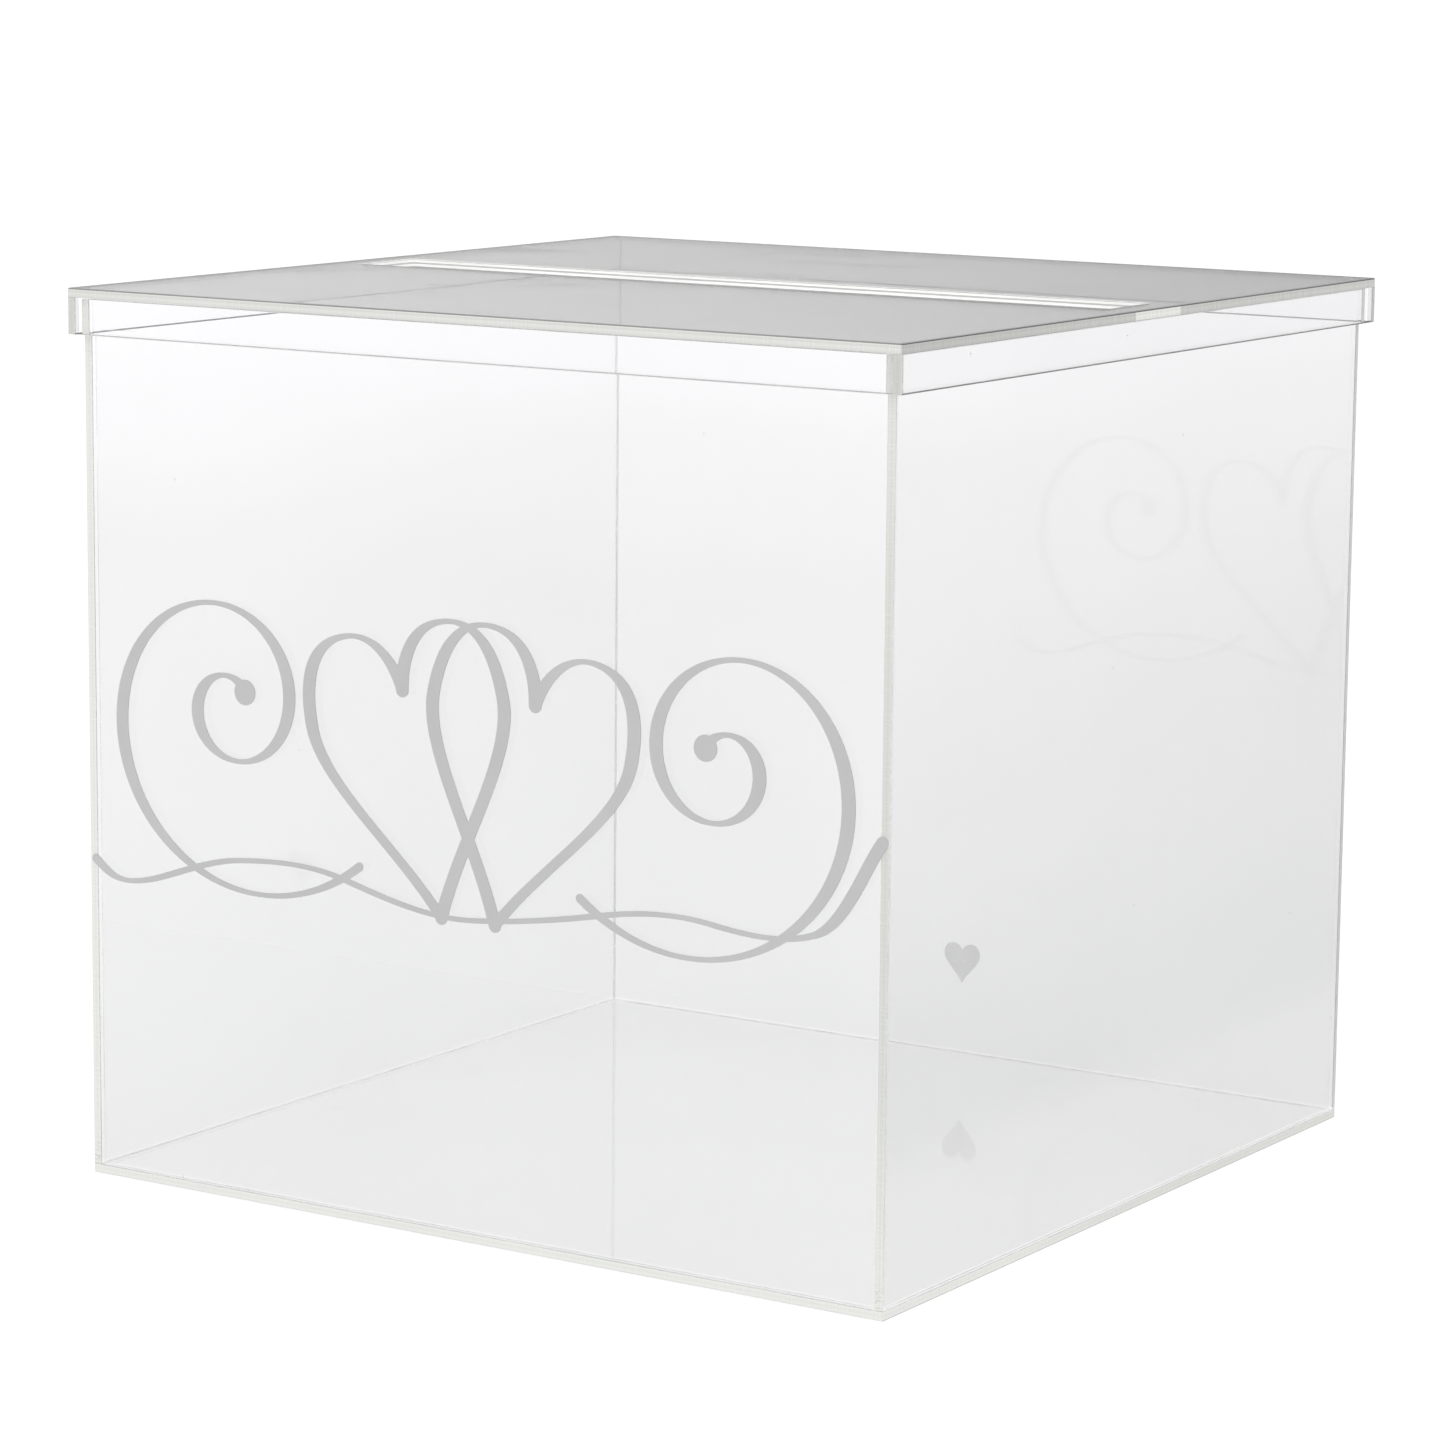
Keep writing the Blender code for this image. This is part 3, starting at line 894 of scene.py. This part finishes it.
def add_fillet(bm, start, end, first, second, draw):
    """A bead of cement in an inner corner from start to end, against the two directions given."""
    count = max(2, round((end - start).length / FILLET_STEP))
    rings = []
    for step in range(count + 1):
        point = start.lerp(end, step / count)
        taper = min(1.0, FILLET_TIP + FILLET_SWELL * min(step, count - step))
        reach = FILLET * draw.uniform(FILLET_LEAST, 1.0) * taper
        ring = [point]
        for k in range(FILLET_ARC + 1):
            angle = math.pi / 2 * k / FILLET_ARC
            ring.append(
                point + first * reach * (1 - math.sin(angle)) + second * reach * (1 - math.cos(angle))
            )
        rings.append([bm.verts.new(co) for co in ring])
    size = len(rings[0])
    for before, after in zip(rings, rings[1:]):
        for k in range(size):
            bm.faces.new((before[k], before[(k + 1) % size], after[(k + 1) % size], after[k]))
    bm.faces.new(rings[0])
    bm.faces.new(rings[-1][::-1])


def make_seams(name, body, low, high, floor_z, inward, draw):
    """Beads of cement round the inside of a room from low to high, and along its four corners.

    They stand on a floor at floor_z if inward is 1, and hang from a ceiling there if it is -1.
    """
    bm = bmesh.new()
    far = 2 * FILLET
    for side in (-1, 1):
        x_wall = low.x if side < 0 else high.x
        y_wall = low.y if side < 0 else high.y
        along_y = (Vector((x_wall, low.y + far, floor_z)), Vector((x_wall, high.y - far, floor_z)))
        add_fillet(bm, *along_y, Vector((-side, 0, 0)), Vector((0, 0, inward)), draw)
        along_x = (Vector((low.x + far, y_wall, floor_z)), Vector((high.x - far, y_wall, floor_z)))
        add_fillet(bm, *along_x, Vector((0, -side, 0)), Vector((0, 0, inward)), draw)
    other_z = high.z if inward > 0 else low.z
    for x, x_in in ((low.x, 1), (high.x, -1)):
        for y, y_in in ((low.y, 1), (high.y, -1)):
            up = (Vector((x, y, floor_z + inward * far)), Vector((x, y, other_z - inward * far)))
            add_fillet(bm, *up, Vector((x_in, 0, 0)), Vector((0, y_in, 0)), draw)
    bmesh.ops.recalc_face_normals(bm, faces=bm.faces)
    seams = object_from_bmesh(name, bm)
    seams.data.materials.append(CEMENT)
    for polygon in seams.data.polygons:
        polygon.use_smooth = True
    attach(seams, body)


def inner_room(walls):
    """The corners of the room inside four walls, named with a pattern that takes a side."""
    sides = ("left", "right", "front", "back")
    left, right, front, back = (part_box(walls.format(side)) for side in sides)
    clearance = Vector((1, 1, 0)) * CLEAR_OF_SHEET
    low = Vector((left[1].x, front[1].y, left[0].z)) + clearance
    high = Vector((right[0].x, back[0].y, left[1].z)) - clearance
    return low, high


def make_cement():
    """Beads round the floor of the box and up its corners, and the same under the lid."""
    draw = random.Random(CEMENT_SEED)
    floor_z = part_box("base_panel")[1].z + CLEAR_OF_SHEET
    make_seams("box_cement", "box", *inner_room("{}_panel"), floor_z, 1, draw)
    ceiling_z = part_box("lid_plate")[0].z - CLEAR_OF_SHEET
    make_seams("lid_cement", "lid", *inner_room("lid_rim_{}"), ceiling_z, -1, draw)


# ---------------------------------------------------------------- film


def along(heading):
    """A step of 1 in a heading in degrees."""
    return Vector((math.cos(math.radians(heading)), math.sin(math.radians(heading))))


def smooth_path(knots):
    """Points along a smooth line through knots of (x, z, heading, reach)."""
    path = []
    for (x0, z0, heading0, reach0), (x1, z1, heading1, reach1) in zip(knots, knots[1:]):
        leave, arrive = along(heading0) * reach0, along(heading1) * reach1
        start, end = Vector((x0, z0)), Vector((x1, z1))
        span = interpolate_bezier(start, start + leave, end - arrive, end, POINTS_PER_SPAN)
        path += span[1:] if path else span
    return [Vector(point[:2]) for point in path]


def scroll_path(side):
    """A spiral that leaves the vine, dips below it and winds in. side is -1 on the left."""
    path = []
    for step in range(SCROLL_POINTS + 1):
        share = step / SCROLL_POINTS
        radius = SCROLL_START_RADIUS * (SCROLL_END_RADIUS / SCROLL_START_RADIUS) ** share
        angle = math.radians(SCROLL_START_ANGLE + SCROLL_SWEEP * share)
        x = -SCROLL_CENTRE[0] + radius * math.cos(angle)
        path.append(Vector((-side * x, SCROLL_CENTRE[1] + radius * math.sin(angle))))
    return path


def heart_halves(centre, width, height, tilt):
    """The knots of a heart's two halves, each from the point at the bottom to the dip at the top.

    The knots are placed in shares of its width and height, and turned about its centre by tilt.
    """
    turn = math.radians(tilt)

    def knot(x, z, heading, reach):
        turned_x = centre[0] + x * math.cos(turn) - z * math.sin(turn)
        turned_z = centre[1] + x * math.sin(turn) + z * math.cos(turn)
        return (turned_x, turned_z, heading + tilt, reach)

    halves = []
    for side in (-1, 1):
        halves.append(
            [
                knot(0, -0.55 * height, 90 - 28 * side, 0.30 * height),
                knot(side * 0.50 * width, 0.16 * height, 90, 0.20 * height),
                knot(side * 0.25 * width, 0.45 * height, 90 + 90 * side, 0.15 * width),
                knot(0, 0.24 * height, 90 + 170 * side, 0.10 * height),
            ]
        )
    return halves


def stroke_width(direction):
    """A broad pen: thin where the stroke runs level, and thick where it rises or falls."""
    rise = abs(direction.y) / direction.length
    return THIN_STROKE + (THICK_STROKE - THIN_STROKE) * rise**STROKE_CONTRAST


def round_end(middle, outward, radius):
    """Points of the half circle that closes a stroke, from its left side to its right."""
    across = Vector((-outward.y, outward.x))
    steps = [math.pi * k / (CAP_POINTS + 1) for k in range(1, CAP_POINTS + 1)]
    return [middle + radius * (math.cos(a) * across + math.sin(a) * outward) for a in steps]


def stroke_outline(path):
    """The closed outline of a pen stroke along the path."""
    left, right = [], []
    for i, point in enumerate(path):
        direction = path[min(i + 1, len(path) - 1)] - path[max(i - 1, 0)]
        half = stroke_width(direction) / 2
        across = Vector((-direction.y, direction.x)).normalized()
        left.append(point + half * across)
        right.append(point - half * across)
    first = (path[1] - path[0]).normalized()
    last = (path[-1] - path[-2]).normalized()
    end = round_end(path[-1], last, (left[-1] - path[-1]).length)
    start = round_end(path[0], -first, (left[0] - path[0]).length)
    return left + end + right[::-1] + start


def disc_outline(centre, radius):
    """The dot that ends a scroll."""
    angles = [2 * math.pi * k / DOT_POINTS for k in range(DOT_POINTS)]
    return [centre + radius * Vector((math.cos(a), math.sin(a))) for a in angles]


def film_object(name, outline, y):
    """A sheet of film cut to an outline in millimetres, standing in the plane of a wall at y."""
    curve = bpy.data.curves.new(name, "CURVE")
    curve.dimensions = "2D"
    curve.fill_mode = "BOTH"
    curve.extrude = FILM / 2 * MM
    spline = curve.splines.new("POLY")
    spline.points.add(len(outline) - 1)
    for point, (x, z) in zip(spline.points, outline):
        point.co = (x * MM, z * MM, 0, 1)
    spline.use_cyclic_u = True
    guide = link(bpy.data.objects.new(name + "_guide", curve))
    mesh = evaluated_mesh(guide)
    bpy.data.objects.remove(guide)
    bpy.data.curves.remove(curve)
    bm = bmesh.new()
    bm.from_mesh(mesh)
    bmesh.ops.remove_doubles(bm, verts=bm.verts, dist=WELD)
    bmesh.ops.rotate(bm, verts=bm.verts, matrix=Matrix.Rotation(math.pi / 2, 3, "X"))
    bmesh.ops.translate(bm, verts=bm.verts, vec=(0, y, 0))
    bmesh.ops.recalc_face_normals(bm, faces=bm.faces)
    return object_from_bmesh(name, bm)


def ornament_outlines():
    """Two linked hearts over a vine that runs from edge to edge, with a scroll on each side."""
    outlines = [stroke_outline(smooth_path(VINE))]
    for side in (-1, 1):
        path = scroll_path(side)
        outlines += [stroke_outline(path), disc_outline(path[-1], SCROLL_DOT_RADIUS)]
        centre = (side * HEART_OFFSET, HEART_MIDDLE)
        for knots in heart_halves(centre, HEART_WIDTH, HEART_HEIGHT, -side * HEART_TILT):
            outlines.append(stroke_outline(smooth_path(knots)))
    return outlines


def make_ornament():
    """All the strokes joined into one piece of film on the front panel."""
    low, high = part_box("front_ornament")
    y = (low.y + high.y) / 2
    pieces = [film_object(f"stroke_{i}", outline, y) for i, outline in enumerate(ornament_outlines())]
    ornament, strokes = pieces[0], pieces[1:]
    ornament.name = "front_ornament_film"
    for stroke in strokes:
        join = ornament.modifiers.new(stroke.name, "BOOLEAN")
        join.operation = "UNION"
        join.object = stroke
    apply_modifiers(ornament)
    for stroke in strokes:
        bpy.data.objects.remove(stroke)
    finish_film(ornament, "front_ornament", ORNAMENT_FILM, ORNAMENT_BACK)


def make_back_mark():
    """A small plain heart, low on the back panel."""
    low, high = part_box("back_mark")
    left, right = heart_halves((0, MARK_HEIGHT), MARK_SIZE, MARK_SIZE, 0)
    outline = smooth_path(left)[:-1] + smooth_path(right)[:0:-1]
    film = film_object("back_mark_film", outline, (low.y + high.y) / 2)
    finish_film(film, "back_mark", MARK_FILM, MARK_FILM)


def finish_film(film, replaced, face, inner):
    """Paints the film, with its paler adhesive side where it faces into the box from the front."""
    film.data.materials.clear()
    film.data.materials.append(face)
    film.data.materials.append(inner)
    for polygon in film.data.polygons:
        polygon.material_index = 1 if polygon.normal.y > 0.5 else 0
    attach(film, "box")
    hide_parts(replaced)


# ---------------------------------------------------------------- stage


TABLE_REACH = 60
TABLE_DROP = 0.3 * MM
TABLE_GLOW = 0.935
TABLE_GLOW_COLOUR = (1.0, 0.995, 1.0)
TABLE_COLOUR = (0.1, 0.1, 0.1)
# The sky's tone against its height, from the horizon to straight up
SKY_STOPS = [(0.0, 0.46), (0.07, 0.535), (0.1, 0.575), (0.24, 0.97), (0.45, 1.15), (1.0, 1.25)]
# The low sky is dimmer on one side, along this direction, between these shares of it
DIM_DIRECTION = (-0.83, -0.54)
DIM_FROM, DIM_TO = -0.2, 0.14
DIM_STOPS = [(0.0, 0.58), (0.18, 0.66), (0.59, 0.915), (1.0, 1.08)]
DIM_LOW, DIM_HIGH = 0.1, 0.24
SOFTBOX_SIZE = 1.6
SOFTBOX_HEIGHT = 2.4
SOFTBOX_POWER = 12
LIGHT_BOUNCES = 128


def make_floor():
    """A white table lit from within."""
    bm = bmesh.new()
    bmesh.ops.create_grid(bm, x_segments=1, y_segments=1, size=TABLE_REACH)
    bmesh.ops.translate(bm, vec=(0, 0, -TABLE_DROP), verts=bm.verts)
    floor = object_from_bmesh("floor", bm)
    material, _, shader = new_material("pale_floor")
    shader.inputs["Emission Strength"].default_value = TABLE_GLOW
    shader.inputs["Emission Color"].default_value = (*TABLE_GLOW_COLOUR, 1)
    shader.inputs["Base Color"].default_value = (*TABLE_COLOUR, 1)
    shader.inputs["Roughness"].default_value = 1.0
    shader.inputs["Specular IOR Level"].default_value = 0.0
    floor.data.materials.append(material)


def make_world():
    """A soft studio: grey at the horizon, more so on one side, and bright overhead."""
    world = bpy.data.worlds.new("soft_studio")
    bpy.context.scene.world = world
    world.use_nodes = True
    tree = world.node_tree
    coords = tree.nodes.new("ShaderNodeTexCoord")
    split = node(tree, "ShaderNodeSeparateXYZ", {"Vector": coords.outputs["Generated"]})
    colour = ramp(tree, split.outputs["Z"], SKY_STOPS)
    side = math_node(tree, "MULTIPLY", split.outputs["X"], DIM_DIRECTION[0])
    side_y = math_node(tree, "MULTIPLY", split.outputs["Y"], DIM_DIRECTION[1])
    side = math_node(tree, "ADD", side, side_y)
    background = tree.nodes["Background"]
    tree.links.new(colour, background.inputs["Color"])
    level = ramp(tree, map_range(tree, side, DIM_FROM, DIM_TO, 0.0, 1.0), DIM_STOPS)
    dim = math_node(tree, "SUBTRACT", 1.0, level)
    low_down = map_range(tree, split.outputs["Z"], DIM_LOW, DIM_HIGH, 1.0, 0.0)
    dim = math_node(tree, "MULTIPLY", dim, low_down)
    tree.links.new(math_node(tree, "SUBTRACT", 1.0, dim), background.inputs["Strength"])


def make_softbox():
    """One broad, weak lamp overhead."""
    light = bpy.data.lights.new("softbox", "AREA")
    light.shape = "DISK"
    light.size = SOFTBOX_SIZE
    light.energy = SOFTBOX_POWER
    lamp = link(bpy.data.objects.new("softbox", light))
    lamp.location = (0, 0, SOFTBOX_HEIGHT)


def make_camera():
    """Looks from the front right and a little above."""
    camera = bpy.data.cameras.new("camera")
    camera.lens = VIEW_LENS
    camera.sensor_width = VIEW_SENSOR
    camera.clip_start, camera.clip_end = VIEW_CLIP
    eye = link(bpy.data.objects.new("camera", camera))
    centre = sum(cad_bounds, Vector()) / 2
    azimuth, elevation = math.radians(VIEW_AZIMUTH), math.radians(VIEW_ELEVATION)
    flat = Vector((math.sin(azimuth), -math.cos(azimuth), 0))
    back = flat * math.cos(elevation) + Vector((0, 0, math.sin(elevation)))
    eye.location = centre + AIM_OFFSET + back * VIEW_DISTANCE
    roll = Quaternion((0, 0, 1), math.radians(VIEW_ROLL))
    eye.rotation_mode = "QUATERNION"
    eye.rotation_quaternion = (-back).to_track_quat("-Z", "Y") @ roll
    bpy.context.scene.camera = eye


def set_look():
    """Plain colours, and enough bounces for light to cross every sheet and its reflections."""
    scene = bpy.context.scene
    scene.view_settings.view_transform = "Standard"
    scene.cycles.max_bounces = LIGHT_BOUNCES
    scene.cycles.transmission_bounces = LIGHT_BOUNCES
    scene.cycles.glossy_bounces = LIGHT_BOUNCES


make_camera()
make_box()
make_lid()
make_cement()
make_ornament()
make_back_mark()
make_floor()
make_world()
make_softbox()
set_look()
